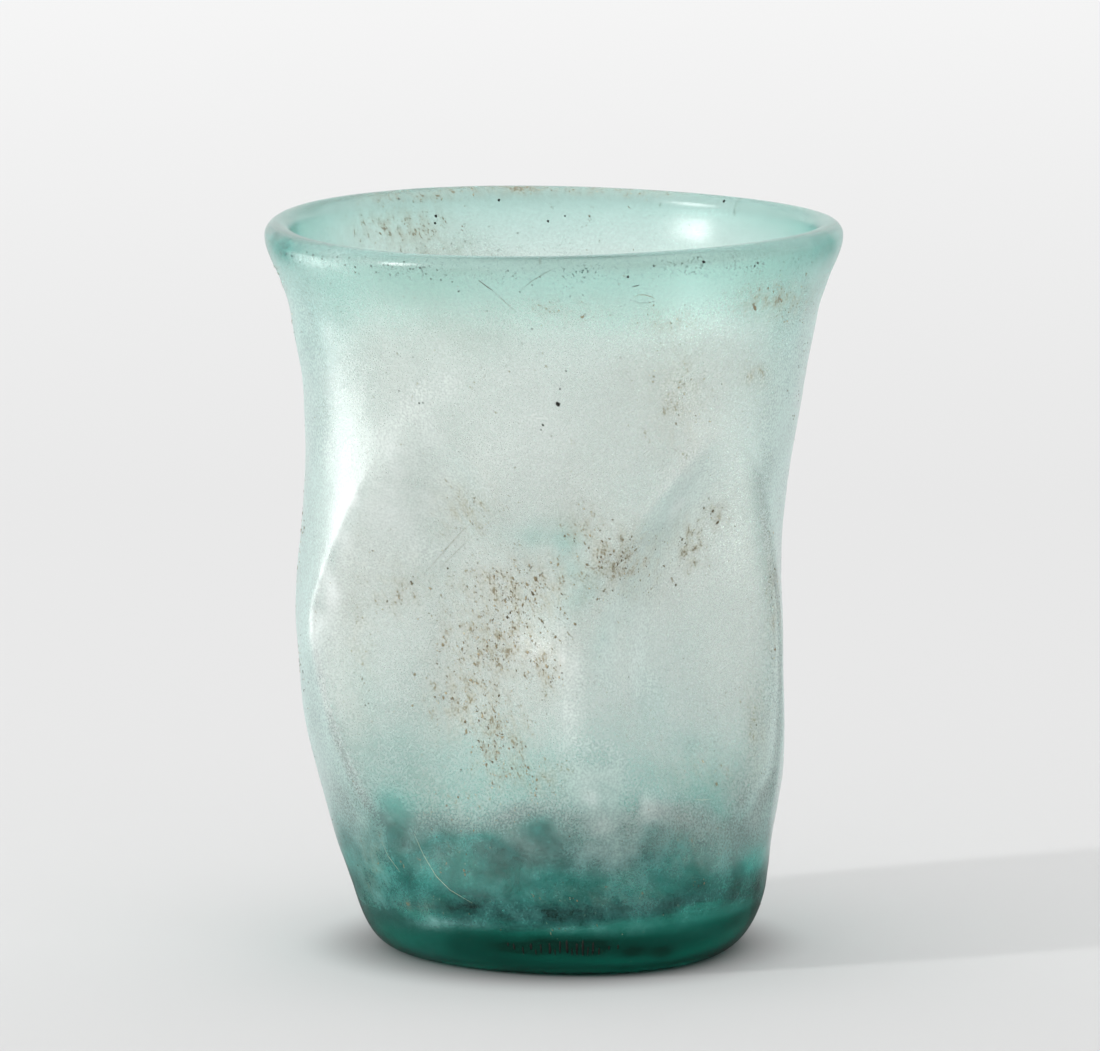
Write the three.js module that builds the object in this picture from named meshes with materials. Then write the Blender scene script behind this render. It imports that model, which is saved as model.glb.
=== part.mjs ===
// An indented drinking beaker of free-blown blue-green glass.
// Millimetres, +Z up. It stands on z = 0, the centre of its rim is on the Z axis, and -Y is its front.
// The glass is one blown bubble. It is kept here as the zones that were worked one after another: a thick
// base, a wall with four pressed indents, a flared collar and a fire-rounded lip, and under the base the
// scar of the rod that held it while the lip was made. The zones meet face to face on level planes.
import * as THREE from "three";
import { mergeVertices } from "three/addons/utils/BufferGeometryUtils.js";

// Driving dimensions. Radii are of the outside of the glass.
const HEIGHT = 100;
const RIM_RADIUS = 39.3;
const NECK_RADIUS = 37.4;
const FLARE_RADIUS = 35.95;
const COLLAR_RADIUS = 34;
const WAIST_RADIUS = 32.8;
const BELLY_RADIUS = 33.3;
const HIP_RADIUS = 32.6;
const LOWER_RADIUS = 31;
const HEEL_RADIUS = 28.3;
const HEEL_HEIGHT = 8.5;
const CONTACT_RADIUS = 20.2;
const CONTACT_WIDTH = 2.4;

const LIP_THICKNESS = 3.8;
const FLARE_THICKNESS = 1.9;
const WALL_THICKNESS = 1.3;
const HIP_THICKNESS = 1.9;
const LOWER_THICKNESS = 3.1;
const HEEL_THICKNESS = 5.5;
const FLOOR_THICKNESS = 4.2;
const FLOOR_RADIUS = 11;

// Heights of the wall's stations, as shares of the whole height.
const LOWER_SHARE = 0.2;
const HIP_SHARE = 0.3;
const BELLY_SHARE = 0.43;
const WAIST_SHARE = 0.6;
const COLLAR_SHARE = 0.77;
const FLARE_SHARE = 0.88;
const NECK_SHARE = 0.925;

// The underside is pushed up in the middle, where the scar is.
const KICK_HEIGHT = 2.6;
const KICK_FLAT_RADIUS = 8;
const SCAR_RADIUS = 6.2;
const SCAR_WIDTH = 2.6;
const SCAR_DEPTH = 1;
const SCAR_ROUGHNESS = 0.25;

// The indents are hollows like a falling drop, pressed towards the axis about a quarter turn apart. Each
// narrows to its top by the taper and leans round the beaker to its foot.
const INDENT_DEPTH = 8.5;
const INDENT_REACH_UP = 27;
const INDENT_REACH_DOWN = 36;
const INDENT_CENTRE_HEIGHT = 48;
const INDENT_HALF_ANGLE = THREE.MathUtils.degToRad(40);
const INDENT_LEAN = THREE.MathUtils.degToRad(8);
const INDENT_TAPER_SHARE = 0.55;
const INDENT_FULLNESS = 1.5;
const INDENTS = [
  { degrees: 49, depthShare: 0.95, reachShare: 1 },
  { degrees: 134, depthShare: 0.9, reachShare: 0.95 },
  { degrees: 241, depthShare: 1.12, reachShare: 1.08 },
  { degrees: 313, depthShare: 0.95, reachShare: 0.97 },
];

// A shallow saddle at the head of the front ridge, where the two indents beside it nearly meet.
const SADDLE_DEPTH = 2.6;
const SADDLE_HEIGHT = 58;
const SADDLE_HALF_HEIGHT = 18;
const SADDLE_ANGLE = THREE.MathUtils.degToRad(271);
const SADDLE_HALF_ANGLE = THREE.MathUtils.degToRad(22);

// The bubble sagged to the left above its heel, and its foot was set a little to the right.
const FOOT_DRIFT = 0.8;
const BELLY_DRIFT = -2.05;
const FOOT_DRIFT_SHARE = 0.065;
const LEVEL_DRIFT_SHARE = 0.18;
const BELLY_DRIFT_SHARE = 0.485;
const TOP_DRIFT_SHARE = 0.8;
// The front and the back of the ring it stands on lie further right than its sides.
const FOOT_SWAY = 2.1;
// The lip was never quite level.
const LIP_WAVE = 0.35;

// Glass pooled in the base and crept up inside the wall in tongues.
const POOL_THICKNESS = 1;
const POOL_HEIGHT = 17;
const POOL_HALF_HEIGHT = 8;
const POOL_TONGUES = 9;
const POOL_TURN = THREE.MathUtils.degToRad(266);

// A thick knot inside the head of the front ridge.
const KNOT_THICKNESS = 1.2;
const KNOT_HEIGHT = 53;
const KNOT_HALF_HEIGHT = 8.5;
const KNOT_ANGLE = THREE.MathUtils.degToRad(271);
const KNOT_HALF_ANGLE = THREE.MathUtils.degToRad(13);

// The zones meet on level planes: the base's top, and two measured down from the brim.
const BASE_JOIN = 14;
const COLLAR_ZONE = 25;
const LIP_ZONE = 8;

// Counts of facets.
const SEGMENTS = 72;
const SCAR_SEGMENTS = 32;
const WALL_ROWS = 15;
const COLLAR_ROWS = 5;
const LIP_ROWS = 3;
const CAP_ROWS = 7;
const HEEL_ROWS = 6;
const KICK_ROWS = 4;
const FLOOR_ROWS = 3;
// Points nearer to each other than this are one point.
const MERGE_DISTANCE = 1e-4;

const LIP_MIDDLE = HEIGHT - LIP_THICKNESS / 2;
const LIP_JOIN = HEIGHT - LIP_ZONE;
const COLLAR_JOIN = HEIGHT - COLLAR_ZONE;

// A smooth function of height through [height, value] stations, level at both ends and beyond them.
function curveThrough(stations) {
  const last = stations.length - 1;
  const slopeAt = (i) => {
    if (i === 0 || i === last) return 0;
    const [before, after] = [stations[i - 1], stations[i + 1]];
    return (after[1] - before[1]) / (after[0] - before[0]);
  };
  return (height) => {
    if (height <= stations[0][0]) return stations[0][1];
    if (height >= stations[last][0]) return stations[last][1];
    const i = stations.findIndex(([upper]) => upper > height) - 1;
    const [[low, start], [high, end]] = [stations[i], stations[i + 1]];
    const span = high - low;
    const t = (height - low) / span;
    const rise = t * t * (3 - 2 * t);
    const leave = t * (1 - t) * (1 - t) * span * slopeAt(i);
    const arrive = t * t * (t - 1) * span * slopeAt(i + 1);
    return start + (end - start) * rise + leave + arrive;
  };
}

// The outside of the round bubble before the indents.
const wallSlope = (LOWER_RADIUS - HEEL_RADIUS) / (LOWER_SHARE * HEIGHT - HEEL_HEIGHT);
const outerRadius = curveThrough([
  [0, HEEL_RADIUS - wallSlope * HEEL_HEIGHT],
  [HEEL_HEIGHT, HEEL_RADIUS],
  [LOWER_SHARE * HEIGHT, LOWER_RADIUS],
  [HIP_SHARE * HEIGHT, HIP_RADIUS],
  [BELLY_SHARE * HEIGHT, BELLY_RADIUS],
  [WAIST_SHARE * HEIGHT, WAIST_RADIUS],
  [COLLAR_SHARE * HEIGHT, COLLAR_RADIUS],
  [FLARE_SHARE * HEIGHT, FLARE_RADIUS],
  [NECK_SHARE * HEIGHT, NECK_RADIUS],
  [LIP_MIDDLE, RIM_RADIUS],
]);
const wallThickness = curveThrough([
  [BASE_JOIN, HEEL_THICKNESS],
  [LOWER_SHARE * HEIGHT, LOWER_THICKNESS],
  [HIP_SHARE * HEIGHT, HIP_THICKNESS],
  [BELLY_SHARE * HEIGHT, WALL_THICKNESS],
  [COLLAR_SHARE * HEIGHT, WALL_THICKNESS],
  [FLARE_SHARE * HEIGHT, FLARE_THICKNESS],
  [LIP_MIDDLE, LIP_THICKNESS],
]);
const innerRadius = (height) => outerRadius(height) - wallThickness(height);

// How far the axis of the bubble lies to the right at each height.
const axisDrift = curveThrough([
  [0, FOOT_DRIFT],
  [FOOT_DRIFT_SHARE * HEIGHT, FOOT_DRIFT],
  [LEVEL_DRIFT_SHARE * HEIGHT, 0],
  [BELLY_DRIFT_SHARE * HEIGHT, BELLY_DRIFT],
  [TOP_DRIFT_SHARE * HEIGHT, 0],
]);

// The signed turn from one angle to another, at most half a circle.
const turnBetween = (angle, middle) => Math.atan2(Math.sin(angle - middle), Math.cos(angle - middle));

// A smooth hump from 0 at -1 over 1 at 0 to 0 at 1.
const swell = (across) => Math.max(0, 1 - across * across) ** 2;

// A smooth hump of an angle and a height, from 1 in its middle to 0 at the rim of its oval.
function ovalSwell(angle, height, middle, halfAngle, centre, halfHeight) {
  return swell(Math.hypot(turnBetween(angle, middle) / halfAngle, (height - centre) / halfHeight));
}

// How far one indent presses the glass in at an angle and a height.
function indentDepth({ degrees, depthShare, reachShare }, angle, height) {
  const above = height - INDENT_CENTRE_HEIGHT;
  const up = above / (reachShare * (above > 0 ? INDENT_REACH_UP : INDENT_REACH_DOWN));
  const middle = THREE.MathUtils.degToRad(degrees) - INDENT_LEAN * Math.min(up, 0);
  const halfAngle = INDENT_HALF_ANGLE * (1 - INDENT_TAPER_SHARE * THREE.MathUtils.clamp(up, 0, 1));
  const across = turnBetween(angle, middle) / halfAngle;
  const inside = Math.max(0, 1 - across * across - up * up);
  return depthShare * INDENT_DEPTH * Math.pow(inside, INDENT_FULLNESS);
}

// How far the glass is pressed in at an angle and a height.
function pressedIn(angle, height) {
  const saddle = ovalSwell(angle, height, SADDLE_ANGLE, SADDLE_HALF_ANGLE, SADDLE_HEIGHT, SADDLE_HALF_HEIGHT);
  return INDENTS.reduce((depth, indent) => depth + indentDepth(indent, angle, height), SADDLE_DEPTH * saddle);
}

// How much thicker than the plain wall the glass is at an angle and a height.
function gathered(angle, height) {
  const tongue = (1 + Math.cos(POOL_TONGUES * (angle - POOL_TURN))) / 2;
  const pool = POOL_THICKNESS * tongue * swell((height - POOL_HEIGHT) / POOL_HALF_HEIGHT);
  const knot = ovalSwell(angle, height, KNOT_ANGLE, KNOT_HALF_ANGLE, KNOT_HEIGHT, KNOT_HALF_HEIGHT);
  return pool + KNOT_THICKNESS * knot;
}

// The ring it stands on was pushed to the right at its front and back, and the push dies out up the heel.
function footSway(radius, angle, height) {
  const share = Math.max(0, 1 - height / HEEL_HEIGHT);
  return (FOOT_SWAY * share * Math.sin(angle) ** 2 * radius) / CONTACT_RADIUS;
}

// The lip falls and rises twice round the rim, and the wave dies out down the lip.
function lipRise(angle, height) {
  const share = Math.max(0, (height - LIP_JOIN) / LIP_ZONE);
  return -LIP_WAVE * share * share * Math.sin(2 * angle);
}

// Turns a round zone into the real one: pressed, gathered inside, sagged and with its wavy lip.
function workGlass(geometry) {
  const place = geometry.getAttribute("position");
  for (let i = 0; i < place.count; i++) {
    const [x, y, z] = [place.getX(i), place.getY(i), place.getZ(i)];
    const angle = Math.atan2(y, x);
    const round = Math.hypot(x, y);
    const depthShare = THREE.MathUtils.clamp((outerRadius(z) - round) / wallThickness(z), 0, 1);
    const radius = round - pressedIn(angle, z) - depthShare * gathered(angle, z);
    place.setXYZ(
      i,
      radius * Math.cos(angle) + axisDrift(z) + footSway(round, angle, z),
      radius * Math.sin(angle),
      z + lipRise(angle, z),
    );
  }
  return geometry;
}

// Revolves a section of [radius, height] points about Z.
function revolve(section, segments) {
  const points = section.map(([radius, height]) => new THREE.Vector2(radius, height));
  const geometry = new THREE.LatheGeometry(points, segments);
  geometry.rotateX(Math.PI / 2);
  geometry.deleteAttribute("normal");
  geometry.deleteAttribute("uv");
  return geometry;
}

// Evenly spaced values from one to another, both included.
function steps(from, to, rows) {
  return Array.from({ length: rows + 1 }, (_, i) => from + ((to - from) * i) / rows);
}

// Points [radius, height] along a curve that leaves its start and reaches its end towards one corner.
function bend(start, corner, end, rows) {
  const [from, control, to] = [start, corner, end].map(([r, z]) => new THREE.Vector2(r, z));
  const curve = new THREE.QuadraticBezierCurve(from, control, to);
  return curve.getPoints(rows).map((p) => [p.x, p.y]);
}

// Sections run up the outside and down the inside of the glass.
function wallSection(low, high, rows) {
  const heights = steps(low, high, rows);
  const outside = heights.map((z) => [outerRadius(z), z]);
  const inside = heights.map((z) => [innerRadius(z), z]).reverse();
  return [...outside, ...inside, outside[0]];
}

function lipSection() {
  const heights = steps(LIP_JOIN, LIP_MIDDLE, LIP_ROWS);
  const outside = heights.map((z) => [outerRadius(z), z]);
  const inside = heights.map((z) => [innerRadius(z), z]).reverse();
  const round = LIP_THICKNESS / 2;
  const cap = steps(0, Math.PI, CAP_ROWS)
    .slice(1, -1)
    .map((a) => [RIM_RADIUS - round + round * Math.cos(a), LIP_MIDDLE + round * Math.sin(a)]);
  return [...outside, ...cap, ...inside, outside[0]];
}

function baseSection() {
  const contactInside = CONTACT_RADIUS - CONTACT_WIDTH / 2;
  const contactOutside = CONTACT_RADIUS + CONTACT_WIDTH / 2;
  const floorHeight = KICK_HEIGHT + FLOOR_THICKNESS;
  const kick = bend(
    [KICK_FLAT_RADIUS, KICK_HEIGHT],
    [(KICK_FLAT_RADIUS + contactInside) / 2, KICK_HEIGHT],
    [contactInside, 0],
    KICK_ROWS,
  );
  const heel = bend(
    [contactOutside, 0],
    [HEEL_RADIUS - wallSlope * HEEL_HEIGHT, 0],
    [HEEL_RADIUS, HEEL_HEIGHT],
    HEEL_ROWS,
  );
  const innerHeel = bend(
    [innerRadius(BASE_JOIN), BASE_JOIN],
    [innerRadius(BASE_JOIN) - wallSlope * (BASE_JOIN - floorHeight), floorHeight],
    [FLOOR_RADIUS, floorHeight],
    HEEL_ROWS,
  );
  const floor = steps(FLOOR_RADIUS, 0, FLOOR_ROWS).slice(1);
  return [
    [0, KICK_HEIGHT],
    ...kick,
    ...heel,
    [outerRadius(BASE_JOIN), BASE_JOIN],
    ...innerHeel,
    ...floor.map((radius) => [radius, floorHeight]),
  ];
}

// A broken ring of glass, flat where it is fused to the kick and rough where the rod was snapped off.
function scarGeometry() {
  const inner = SCAR_RADIUS - SCAR_WIDTH;
  const middle = SCAR_RADIUS - SCAR_WIDTH / 2;
  const brink = KICK_HEIGHT - SCAR_DEPTH / 2;
  const section = [
    [inner, KICK_HEIGHT],
    [inner, brink],
    [middle, KICK_HEIGHT - SCAR_DEPTH],
    [SCAR_RADIUS, brink],
    [SCAR_RADIUS, KICK_HEIGHT],
    [inner, KICK_HEIGHT],
  ];
  const geometry = revolve(section, SCAR_SEGMENTS);
  const place = geometry.getAttribute("position");
  for (let i = 0; i < place.count; i++) {
    const [x, y, z] = [place.getX(i), place.getY(i), place.getZ(i)];
    const angle = Math.atan2(y, x);
    const jag = Math.sin(3 * angle) * Math.cos(7 * angle + 1) * SCAR_ROUGHNESS;
    const share = (KICK_HEIGHT - z) / SCAR_DEPTH;
    place.setXYZ(i, x + axisDrift(KICK_HEIGHT), y, z + jag * share);
  }
  return geometry;
}

const glassLook = { roughness: 0.15, metalness: 0, transparent: true };
const thinGlass = new THREE.MeshStandardMaterial({ color: 0xc4dedb, opacity: 0.5, ...glassLook });
const lipGlass = new THREE.MeshStandardMaterial({ color: 0x9ccac2, opacity: 0.7, ...glassLook });
const thickGlass = new THREE.MeshStandardMaterial({ color: 0x2f8075, opacity: 0.85, ...glassLook });
const scarGlass = new THREE.MeshStandardMaterial({ color: 0x4a4a34, roughness: 0.8, metalness: 0 });

function addPiece(group, name, geometry, material) {
  const mesh = new THREE.Mesh(mergeVertices(geometry, MERGE_DISTANCE), material);
  mesh.name = name;
  group.add(mesh);
}

const beaker = new THREE.Group();
beaker.name = "indented_beaker";
const collarSection = wallSection(COLLAR_JOIN, LIP_JOIN, COLLAR_ROWS);
const indentedSection = wallSection(BASE_JOIN, COLLAR_JOIN, WALL_ROWS);
addPiece(beaker, "rim_lip", workGlass(revolve(lipSection(), SEGMENTS)), lipGlass);
addPiece(beaker, "flared_collar", workGlass(revolve(collarSection, SEGMENTS)), thinGlass);
addPiece(beaker, "indented_wall", workGlass(revolve(indentedSection, SEGMENTS)), thinGlass);
addPiece(beaker, "thick_base", workGlass(revolve(baseSection(), SEGMENTS)), thickGlass);
addPiece(beaker, "pontil_scar", scarGeometry(), scarGlass);

export default beaker;
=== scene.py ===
"""The looks of an indented drinking beaker of weathered blue-green glass, in metres, +Z up."""

import math

import bpy
import numpy as np
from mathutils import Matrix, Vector
from mathutils.bvhtree import BVHTree


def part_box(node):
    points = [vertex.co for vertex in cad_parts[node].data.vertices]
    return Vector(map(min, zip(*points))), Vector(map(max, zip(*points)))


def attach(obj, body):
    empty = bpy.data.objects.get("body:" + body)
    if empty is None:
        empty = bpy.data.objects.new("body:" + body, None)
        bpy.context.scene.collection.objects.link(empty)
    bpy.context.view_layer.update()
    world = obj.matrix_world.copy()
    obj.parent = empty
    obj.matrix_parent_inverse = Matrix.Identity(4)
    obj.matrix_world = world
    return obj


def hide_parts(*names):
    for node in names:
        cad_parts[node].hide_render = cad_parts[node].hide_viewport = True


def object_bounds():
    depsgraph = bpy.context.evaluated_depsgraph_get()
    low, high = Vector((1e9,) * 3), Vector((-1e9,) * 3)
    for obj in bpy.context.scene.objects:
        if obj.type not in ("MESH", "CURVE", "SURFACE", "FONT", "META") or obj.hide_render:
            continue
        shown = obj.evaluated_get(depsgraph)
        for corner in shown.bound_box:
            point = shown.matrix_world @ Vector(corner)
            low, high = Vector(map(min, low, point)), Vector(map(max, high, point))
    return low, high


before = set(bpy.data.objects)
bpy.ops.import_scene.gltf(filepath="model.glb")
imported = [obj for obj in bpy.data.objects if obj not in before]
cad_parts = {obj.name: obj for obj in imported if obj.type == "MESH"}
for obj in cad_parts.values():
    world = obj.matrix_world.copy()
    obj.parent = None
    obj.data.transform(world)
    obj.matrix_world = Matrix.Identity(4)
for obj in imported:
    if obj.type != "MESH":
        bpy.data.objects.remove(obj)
cad_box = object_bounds()

# Sizes of the glass, as in the CAD model. Radii are of its outside.
HEIGHT = 0.1
RIM_RADIUS = 0.0393
NECK_RADIUS = 0.0374
FLARE_RADIUS = 0.03595
COLLAR_RADIUS = 0.034
WAIST_RADIUS = 0.0328
BELLY_RADIUS = 0.0333
HIP_RADIUS = 0.0326
LOWER_RADIUS = 0.031
HEEL_RADIUS = 0.0283
HEEL_HEIGHT = 0.0085
CONTACT_RADIUS = 0.0202
CONTACT_WIDTH = 0.0024
LIP_THICKNESS = 0.0038
FLARE_THICKNESS = 0.0019
WALL_THICKNESS = 0.0013
HIP_THICKNESS = 0.0019
LOWER_THICKNESS = 0.0031
HEEL_THICKNESS = 0.0055
FLOOR_THICKNESS = 0.0042
FLOOR_RADIUS = 0.011
KICK_HEIGHT = 0.0026
KICK_FLAT_RADIUS = 0.008

# Where the zones of the glass join, measured up from the foot and down from the brim.
BASE_TOP = 0.014
LIP_ZONE = 0.008

# Shares of the height at which the profile of the wall has its stations.
LOWER_SHARE = 0.2
HIP_SHARE = 0.3
BELLY_SHARE = 0.43
WAIST_SHARE = 0.6
COLLAR_SHARE = 0.77
FLARE_SHARE = 0.88
NECK_SHARE = 0.925

# The pressed indents, with the angle of each in degrees and its shares of the depth and of the reach.
INDENT_DEPTH = 0.0085
INDENT_REACH_UP = 0.027
INDENT_REACH_DOWN = 0.036
INDENT_CENTRE_HEIGHT = 0.048
INDENT_HALF_ANGLE = math.radians(40)
INDENT_FULLNESS = 1.5
INDENT_TAPER_SHARE = 0.55
INDENT_LEAN = math.radians(8)
INDENTS = [(49, 0.95, 1), (134, 0.9, 0.95), (241, 1.12, 1.08), (313, 0.95, 0.97)]

# A shallow saddle at the head of the front ridge, where the two indents beside it nearly meet.
SADDLE_DEPTH = 0.0026
SADDLE_HEIGHT = 0.058
SADDLE_HALF_HEIGHT = 0.018
SADDLE_ANGLE = math.radians(271)
SADDLE_HALF_ANGLE = math.radians(22)

# How far the axis of the bubble lies to the right at shares of the height.
FOOT_DRIFT = 0.0008
BELLY_DRIFT = -0.00205
FOOT_DRIFT_SHARE = 0.065
LEVEL_DRIFT_SHARE = 0.18
BELLY_DRIFT_SHARE = 0.485
TOP_DRIFT_SHARE = 0.8
FOOT_SWAY = 0.0021
LIP_WAVE = 0.00035

# Thicker glass inside: a pool that crept up the wall in tongues, and a knot at the front ridge's head.
POOL_THICKNESS = 0.001
POOL_HEIGHT = 0.017
POOL_HALF_HEIGHT = 0.008
POOL_TONGUES = 9
POOL_TURN = math.radians(266)
KNOT_THICKNESS = 0.0012
KNOT_HEIGHT = 0.053
KNOT_HALF_HEIGHT = 0.0085
KNOT_ANGLE = math.radians(271)
KNOT_HALF_ANGLE = math.radians(13)

LIP_MIDDLE = HEIGHT - LIP_THICKNESS / 2
FLOOR_HEIGHT = KICK_HEIGHT + FLOOR_THICKNESS

# Points around the glass, and rows of them along each stretch of its section.
AROUND = 360
KICK_FLAT_ROWS = 8
KICK_ROWS = 12
HEEL_ROWS = 16
OUTSIDE_ROWS = 96
LIP_ROWS = 18
INSIDE_ROWS = 92
INNER_HEEL_ROWS = 14
FLOOR_ROWS = 10


def curve_through(stations):
    """A smooth function of height through (height, value) stations, level at both ends."""
    heights = np.array([s[0] for s in stations])
    values = np.array([s[1] for s in stations])
    slopes = np.zeros(len(stations))
    slopes[1:-1] = (values[2:] - values[:-2]) / (heights[2:] - heights[:-2])

    def value_at(height):
        height = np.clip(height, heights[0], heights[-1])
        i = np.clip(np.searchsorted(heights, height, side="right") - 1, 0, len(heights) - 2)
        span = heights[i + 1] - heights[i]
        t = (height - heights[i]) / span
        rise = t * t * (3 - 2 * t)
        leave = t * (1 - t) ** 2 * span * slopes[i]
        arrive = t * t * (t - 1) * span * slopes[i + 1]
        return values[i] + (values[i + 1] - values[i]) * rise + leave + arrive

    return value_at


wall_slope = (LOWER_RADIUS - HEEL_RADIUS) / (LOWER_SHARE * HEIGHT - HEEL_HEIGHT)
outer_radius = curve_through([
    (0, HEEL_RADIUS - wall_slope * HEEL_HEIGHT),
    (HEEL_HEIGHT, HEEL_RADIUS),
    (LOWER_SHARE * HEIGHT, LOWER_RADIUS),
    (HIP_SHARE * HEIGHT, HIP_RADIUS),
    (BELLY_SHARE * HEIGHT, BELLY_RADIUS),
    (WAIST_SHARE * HEIGHT, WAIST_RADIUS),
    (COLLAR_SHARE * HEIGHT, COLLAR_RADIUS),
    (FLARE_SHARE * HEIGHT, FLARE_RADIUS),
    (NECK_SHARE * HEIGHT, NECK_RADIUS),
    (LIP_MIDDLE, RIM_RADIUS),
])
wall_thickness = curve_through([
    (BASE_TOP, HEEL_THICKNESS),
    (LOWER_SHARE * HEIGHT, LOWER_THICKNESS),
    (HIP_SHARE * HEIGHT, HIP_THICKNESS),
    (BELLY_SHARE * HEIGHT, WALL_THICKNESS),
    (COLLAR_SHARE * HEIGHT, WALL_THICKNESS),
    (FLARE_SHARE * HEIGHT, FLARE_THICKNESS),
    (LIP_MIDDLE, LIP_THICKNESS),
])
axis_drift = curve_through([
    (0, FOOT_DRIFT),
    (FOOT_DRIFT_SHARE * HEIGHT, FOOT_DRIFT),
    (LEVEL_DRIFT_SHARE * HEIGHT, 0),
    (BELLY_DRIFT_SHARE * HEIGHT, BELLY_DRIFT),
    (TOP_DRIFT_SHARE * HEIGHT, 0),
])


def turn_between(angle, middle):
    """The signed turn from one angle to another, at most half a circle."""
    return np.arctan2(np.sin(angle - middle), np.cos(angle - middle))


def swell(across):
    """A smooth hump from 0 at -1 over 1 at 0 to 0 at 1."""
    return np.maximum(0, 1 - across * across) ** 2


def pressed_in(angle, height):
    """How far the glass is pressed in at an angle and a height."""
    depth = 0
    for middle, depth_share, reach_share in INDENTS:
        above = height - INDENT_CENTRE_HEIGHT
        up = above / np.where(above > 0, INDENT_REACH_UP, INDENT_REACH_DOWN) / reach_share
        half_angle = INDENT_HALF_ANGLE * (1 - INDENT_TAPER_SHARE * up.clip(0, 1))
        leaning = math.radians(middle) - INDENT_LEAN * np.minimum(up, 0)
        across = turn_between(angle, leaning) / half_angle
        inside = np.maximum(0, 1 - across * across - up * up)
        depth = depth + depth_share * INDENT_DEPTH * inside**INDENT_FULLNESS
    across = turn_between(angle, SADDLE_ANGLE) / SADDLE_HALF_ANGLE
    up = (height - SADDLE_HEIGHT) / SADDLE_HALF_HEIGHT
    return depth + SADDLE_DEPTH * swell(np.hypot(across, up).clip(0, 1))


def gathered(angle, height):
    """How much thicker than the plain wall the glass is at an angle and a height."""
    tongue = (1 + np.cos(POOL_TONGUES * (angle - POOL_TURN))) / 2
    pool = POOL_THICKNESS * tongue * swell((height - POOL_HEIGHT) / POOL_HALF_HEIGHT)
    across = turn_between(angle, KNOT_ANGLE) / KNOT_HALF_ANGLE
    up = (height - KNOT_HEIGHT) / KNOT_HALF_HEIGHT
    return pool + KNOT_THICKNESS * swell(np.hypot(across, up).clip(0, 1))


def worked(radius, angle, height):
    """The place of a point of the round bubble once it is pressed, sagged and uneven."""
    depth_share = ((outer_radius(height) - radius) / wall_thickness(height)).clip(0, 1)
    pressed = radius - pressed_in(angle, height) - depth_share * gathered(angle, height)
    lip_share = ((height - HEIGHT + LIP_ZONE) / LIP_ZONE).clip(0, 1)
    foot_share = (1 - height / HEEL_HEIGHT).clip(0, 1)
    sway = FOOT_SWAY * foot_share * np.sin(angle) ** 2 * radius / CONTACT_RADIUS
    return np.stack(
        [
            pressed * np.cos(angle) + axis_drift(height) + sway,
            pressed * np.sin(angle),
            height - LIP_WAVE * lip_share**2 * np.sin(2 * angle),
        ],
        axis=-1,
    )


def bend(start, corner, end, rows):
    """Points (radius, height) of a curve that leaves its start and reaches its end towards a corner."""
    start, corner, end = np.array(start), np.array(corner), np.array(end)
    t = np.linspace(0, 1, rows + 1)[:, None]
    return (1 - t) ** 2 * start + 2 * t * (1 - t) * corner + t * t * end


def vessel_section():
    """Rings (radius, height) from the kick up the outside and down to the floor, and their side.

    The side is 0 outside, 1 inside and between them around the lip.
    """
    contact_in = CONTACT_RADIUS - CONTACT_WIDTH / 2
    contact_out = CONTACT_RADIUS + CONTACT_WIDTH / 2
    inner_base = float(outer_radius(BASE_TOP) - wall_thickness(BASE_TOP))
    kick_flat = np.column_stack([
        np.linspace(0, KICK_FLAT_RADIUS, KICK_FLAT_ROWS),
        np.full(KICK_FLAT_ROWS, KICK_HEIGHT),
    ])
    kick = bend(
        (KICK_FLAT_RADIUS, KICK_HEIGHT),
        ((KICK_FLAT_RADIUS + contact_in) / 2, KICK_HEIGHT),
        (contact_in, 0),
        KICK_ROWS,
    )
    heel = bend(
        (contact_out, 0),
        (HEEL_RADIUS - wall_slope * HEEL_HEIGHT, 0),
        (HEEL_RADIUS, HEEL_HEIGHT),
        HEEL_ROWS,
    )
    heights = np.linspace(HEEL_HEIGHT, LIP_MIDDLE, OUTSIDE_ROWS)
    outside = np.column_stack([outer_radius(heights), heights])
    turn = np.linspace(0, math.pi, LIP_ROWS)[1:-1]
    round_radius = LIP_THICKNESS / 2
    lip = np.column_stack([
        RIM_RADIUS - round_radius + round_radius * np.cos(turn),
        LIP_MIDDLE + round_radius * np.sin(turn),
    ])
    heights = np.linspace(LIP_MIDDLE, BASE_TOP, INSIDE_ROWS)
    inside = np.column_stack([outer_radius(heights) - wall_thickness(heights), heights])
    inner_heel = bend(
        (inner_base, BASE_TOP),
        (inner_base - wall_slope * (BASE_TOP - FLOOR_HEIGHT), FLOOR_HEIGHT),
        (FLOOR_RADIUS, FLOOR_HEIGHT),
        INNER_HEEL_ROWS,
    )
    floor = np.column_stack([
        np.linspace(FLOOR_RADIUS, 0, FLOOR_ROWS),
        np.full(FLOOR_ROWS, FLOOR_HEIGHT),
    ])
    outer = np.vstack([kick_flat, kick[1:], heel, outside[1:]])
    inner = np.vstack([inside, inner_heel[1:], floor[1:]])
    rings = np.vstack([outer, lip, inner])
    within = np.concatenate([np.zeros(len(outer)), np.linspace(0, 1, len(lip)), np.ones(len(inner))])
    return rings, within


# A ripple sums this many waves, whose lengths are drawn between these shares of the one asked for.
RIPPLE_WAVES = 28
RIPPLE_LENGTH_SHARES = (0.6, 1.8)


def ripple(points, seed, wavelength):
    """A smooth random field of about unit size, with bumps about a wavelength apart."""
    draw = np.random.default_rng(seed)
    ways = draw.normal(size=(RIPPLE_WAVES, 3))
    lengths = wavelength * draw.uniform(*RIPPLE_LENGTH_SHARES, RIPPLE_WAVES)
    ways *= (2 * math.pi / lengths / np.linalg.norm(ways, axis=1))[:, None]
    phases = draw.uniform(0, 2 * math.pi, RIPPLE_WAVES)
    return np.sin(points @ ways.T + phases).sum(axis=1) * math.sqrt(2 / RIPPLE_WAVES)


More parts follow.
